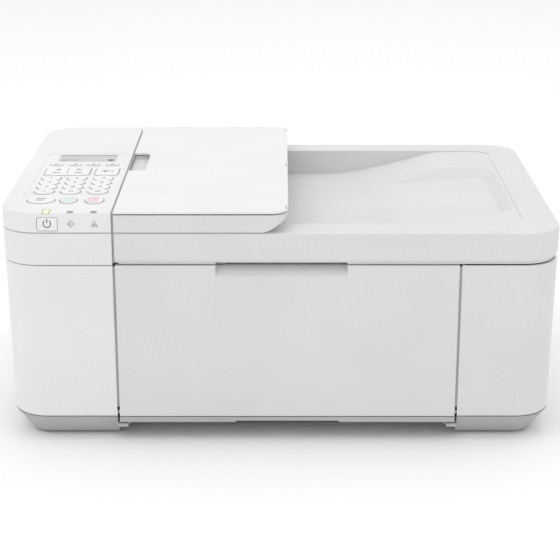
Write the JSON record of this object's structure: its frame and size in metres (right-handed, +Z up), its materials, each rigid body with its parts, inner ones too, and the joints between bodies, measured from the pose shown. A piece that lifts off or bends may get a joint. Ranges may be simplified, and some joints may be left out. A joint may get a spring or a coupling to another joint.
{
  "type": "inkjet printer",
  "caption": "Compact inkjet all-in-one printer with a flatbed scanner, a sheet-fed document cover, an operation panel with keypad, and a drop-down front door.",
  "frame": {"origin": "centre of the bounding box's footprint, on the surface the feet rest on", "axes": "+X to the right, +Y to the back, +Z up; the front door faces -Y"},
  "size_m": [0.435, 0.2952, 0.189],
  "materials": {
    "white_shell": "fine textured moulding",
    "grey_base": "fine textured moulding",
    "rubber_pad": "soft pad",
    "scan_glass": "polished float glass",
    "display": "display window",
    "galvanised_sheet": "galvanised sheet",
    "ground_steel": "ground shaft",
    "roller_rubber": "ground rubber",
    "white_foam_sheet": "foam-backed film",
    "light_grey_moulding": "moulded",
    "black_moulding": "moulded",
    "gear_acetal": "moulded acetal",
    "belt_rubber": "toothed belt",
    "motor_can": "plated can",
    "circuit_board": "solder mask",
    "key_cap": "soft touch key",
    "key_green": "soft touch key",
    "key_red": "soft touch key"
  },
  "bodies": {
    "printer_body": {"base_tray": "grey_base", "chassis": "galvanised_sheet", "drive_motors": "motor_can", "guide_shaft": "ground_steel", "lcd_window": "display", "left_band": "white_shell", "left_casing": "white_shell", "main_board": "circuit_board", "maintenance_station": "black_moulding", "panel_housing": "white_shell", "platen_glass": "scan_glass", "power_inlet": "black_moulding", "power_supply": "black_moulding", "print_platen": "black_moulding", "rear_cover": "white_shell", "right_casing": "white_shell", "rubber_feet": "rubber_pad", "scanner_frame": "white_shell", "timing_belt": "belt_rubber"},
    "front_door": {"front_door": "white_shell", "door_strip": "grey_base"},
    "output_support": {"output_support": "light_grey_moulding"},
    "output_tray": {"output_tray": "light_grey_moulding"},
    "paper_guide_left": {"paper_guide_left": "light_grey_moulding"},
    "paper_guide_right": {"paper_guide_right": "light_grey_moulding"},
    "carriage": {"carriage": "black_moulding", "ink_cartridges": "black_moulding"},
    "motor_pulley": {"motor_pulley": "gear_acetal"},
    "idler_pulley": {"idler_pulley": "gear_acetal"},
    "feed_roller": {"feed_roller": "ground_steel", "feed_gear": "gear_acetal"},
    "motor_pinion": {"motor_pinion": "gear_acetal"},
    "exit_roller": {"exit_roller": "roller_rubber"},
    "pinch_rollers": {"pinch_rollers": "ground_steel"},
    "pick_arm": {"pick_arm": "black_moulding"},
    "pick_roller": {"pick_roller": "roller_rubber"},
    "scan_bar": {"scan_bar": "black_moulding"},
    "hinge_posts": {"hinge_posts": "light_grey_moulding"},
    "document_cover": {"lid_shell": "white_shell", "cover_underside": "white_foam_sheet", "adf_housing": "white_shell", "feeder_cover": "light_grey_moulding"},
    "document_tray": {"document_tray": "white_shell"},
    "document_guide_front": {"document_guide_front": "light_grey_moulding"},
    "document_guide_rear": {"document_guide_rear": "light_grey_moulding"},
    "adf_feed_roller": {"adf_feed_roller": "roller_rubber"},
    "adf_exit_roller": {"adf_exit_roller": "roller_rubber"},
    "on_button": {"on_button": "key_cap"},
    "menu_rocker": {"menu_rocker": "key_cap"},
    "back_key": {"back_key": "key_cap"},
    "redial_key": {"redial_key": "key_cap"},
    "number_keys_left": {"number_keys_left": "key_cap"},
    "number_keys_middle": {"number_keys_middle": "key_cap"},
    "number_keys_right": {"number_keys_right": "key_cap"},
    "function_key_1": {"function_key_1": "key_cap"},
    "function_key_2": {"function_key_2": "key_cap"},
    "function_key_3": {"function_key_3": "key_cap"},
    "function_key_4": {"function_key_4": "key_cap"},
    "start_key": {"start_key": "key_green"},
    "stop_key": {"stop_key": "key_red"}
  },
  "joints": [
    {"name": "front_door_hinge", "type": "hinge", "parent": "printer_body", "child": "front_door", "pos_m": [0.0046, -0.143, 0.0225], "axis": [1, 0, 0], "range_deg": [0, 90]},
    {"name": "output_support_slide", "type": "slide", "parent": "front_door", "child": "output_support", "axis": [0, 0, 1], "range_m": [0, 0.064]},
    {"name": "output_tray_slide", "type": "slide", "parent": "printer_body", "child": "output_tray", "axis": [0, -1, 0], "range_m": [0, 0.058]},
    {"name": "paper_guide_left_slide", "type": "slide", "parent": "printer_body", "child": "paper_guide_left", "axis": [1, 0, 0], "range_m": [0, 0.05]},
    {"name": "paper_guide_right_slide", "type": "slide", "parent": "printer_body", "child": "paper_guide_right", "axis": [-1, 0, 0], "range_m": [0, 0.05]},
    {"name": "carriage_slide", "type": "slide", "parent": "printer_body", "child": "carriage", "axis": [-1, 0, 0], "range_m": [0, 0.29]},
    {"name": "motor_pulley_spin", "type": "hinge", "parent": "printer_body", "child": "motor_pulley", "pos_m": [-0.188, 0.0165, 0.1], "axis": [0, 1, 0], "range_deg": [0, 2500]},
    {"name": "idler_pulley_spin", "type": "hinge", "parent": "printer_body", "child": "idler_pulley", "pos_m": [0.194, 0.0165, 0.1], "axis": [0, 1, 0], "range_deg": [0, 2500]},
    {"name": "feed_roller_spin", "type": "hinge", "parent": "printer_body", "child": "feed_roller", "pos_m": [0, 0.006, 0.066], "axis": [1, 0, 0], "continuous": true},
    {"name": "motor_pinion_spin", "type": "hinge", "parent": "printer_body", "child": "motor_pinion", "pos_m": [0, 0.032, 0.066], "axis": [1, 0, 0], "continuous": true},
    {"name": "exit_roller_spin", "type": "hinge", "parent": "printer_body", "child": "exit_roller", "pos_m": [0, -0.066, 0.067], "axis": [1, 0, 0], "continuous": true},
    {"name": "pinch_rollers_spin", "type": "hinge", "parent": "printer_body", "child": "pinch_rollers", "pos_m": [0, 0.006, 0.0753], "axis": [1, 0, 0], "continuous": true},
    {"name": "pick_arm_swing", "type": "hinge", "parent": "printer_body", "child": "pick_arm", "pos_m": [0, 0.046, 0.046], "axis": [-1, 0, 0], "range_deg": [0, 18]},
    {"name": "pick_roller_spin", "type": "hinge", "parent": "pick_arm", "child": "pick_roller", "pos_m": [0, 0.012, 0.0145], "axis": [1, 0, 0], "continuous": true},
    {"name": "scan_bar_slide", "type": "slide", "parent": "printer_body", "child": "scan_bar", "axis": [1, 0, 0], "range_m": [0, 0.298]},
    {"name": "hinge_posts_lift", "type": "slide", "parent": "printer_body", "child": "hinge_posts", "axis": [0, 0, 1], "range_m": [0, 0.012]},
    {"name": "document_cover_hinge", "type": "hinge", "parent": "hinge_posts", "child": "document_cover", "pos_m": [0.0442, 0.1415, 0.1527], "axis": [-1, 0, 0], "range_deg": [0, 75]},
    {"name": "document_tray_hinge", "type": "hinge", "parent": "document_cover", "child": "document_tray", "pos_m": [0.0044, 0, 0.1881], "axis": [0, 1, 0], "range_deg": [0, 150]},
    {"name": "document_guide_front_slide", "type": "slide", "parent": "document_tray", "child": "document_guide_front", "axis": [0, 1, 0], "range_m": [0, 0.04]},
    {"name": "document_guide_rear_slide", "type": "slide", "parent": "document_tray", "child": "document_guide_rear", "axis": [0, -1, 0], "range_m": [0, 0.04]},
    {"name": "adf_feed_roller_spin", "type": "hinge", "parent": "document_cover", "child": "adf_feed_roller", "pos_m": [-0.1036, 0, 0.166], "axis": [0, -1, 0], "continuous": true},
    {"name": "adf_exit_roller_spin", "type": "hinge", "parent": "document_cover", "child": "adf_exit_roller", "pos_m": [-0.0676, 0, 0.16], "axis": [0, -1, 0], "continuous": true},
    {"name": "on_button_press", "type": "slide", "parent": "printer_body", "child": "on_button", "axis": [0, 1, 0], "range_m": [0, 0.001], "stiffness_N_per_m": 1200},
    {"name": "menu_rocker_press", "type": "slide", "parent": "printer_body", "child": "menu_rocker", "axis": [0, 0, -1], "range_m": [0, 0.0008], "stiffness_N_per_m": 1000},
    {"name": "back_key_press", "type": "slide", "parent": "printer_body", "child": "back_key", "axis": [0, 0, -1], "range_m": [0, 0.0008], "stiffness_N_per_m": 1000},
    {"name": "redial_key_press", "type": "slide", "parent": "printer_body", "child": "redial_key", "axis": [0, 0, -1], "range_m": [0, 0.0008], "stiffness_N_per_m": 1000},
    {"name": "number_keys_left_press", "type": "slide", "parent": "printer_body", "child": "number_keys_left", "axis": [0, 0, -1], "range_m": [0, 0.0008], "stiffness_N_per_m": 1000},
    {"name": "number_keys_middle_press", "type": "slide", "parent": "printer_body", "child": "number_keys_middle", "axis": [0, 0, -1], "range_m": [0, 0.0008], "stiffness_N_per_m": 1000},
    {"name": "number_keys_right_press", "type": "slide", "parent": "printer_body", "child": "number_keys_right", "axis": [0, 0, -1], "range_m": [0, 0.0008], "stiffness_N_per_m": 1000},
    {"name": "function_key_1_press", "type": "slide", "parent": "printer_body", "child": "function_key_1", "axis": [0, 0, -1], "range_m": [0, 0.0008], "stiffness_N_per_m": 1000},
    {"name": "function_key_2_press", "type": "slide", "parent": "printer_body", "child": "function_key_2", "axis": [0, 0, -1], "range_m": [0, 0.0008], "stiffness_N_per_m": 1000},
    {"name": "function_key_3_press", "type": "slide", "parent": "printer_body", "child": "function_key_3", "axis": [0, 0, -1], "range_m": [0, 0.0008], "stiffness_N_per_m": 1000},
    {"name": "function_key_4_press", "type": "slide", "parent": "printer_body", "child": "function_key_4", "axis": [0, 0, -1], "range_m": [0, 0.0008], "stiffness_N_per_m": 1000},
    {"name": "start_key_press", "type": "slide", "parent": "printer_body", "child": "start_key", "axis": [0, 0, -1], "range_m": [0, 0.0008], "stiffness_N_per_m": 1000},
    {"name": "stop_key_press", "type": "slide", "parent": "printer_body", "child": "stop_key", "axis": [0, 0, -1], "range_m": [0, 0.0008], "stiffness_N_per_m": 1000}
  ],
  "couplings": [
    {"joint": "output_support_slide", "follows": "front_door_hinge", "m_per_rad": 0.04},
    {"joint": "output_tray_slide", "follows": "front_door_hinge", "m_per_rad": 0.036},
    {"joint": "paper_guide_right_slide", "follows": "paper_guide_left_slide", "ratio": 1},
    {"joint": "motor_pulley_spin", "follows": "carriage_slide", "rad_per_m": 147.06},
    {"joint": "idler_pulley_spin", "follows": "carriage_slide", "rad_per_m": 147.06},
    {"joint": "motor_pinion_spin", "follows": "feed_roller_spin", "ratio": -3.3333},
    {"joint": "exit_roller_spin", "follows": "feed_roller_spin", "ratio": 1.2},
    {"joint": "pinch_rollers_spin", "follows": "feed_roller_spin", "ratio": -2},
    {"joint": "document_guide_rear_slide", "follows": "document_guide_front_slide", "ratio": 1},
    {"joint": "adf_exit_roller_spin", "follows": "adf_feed_roller_spin", "ratio": 1.9091}
  ]
}
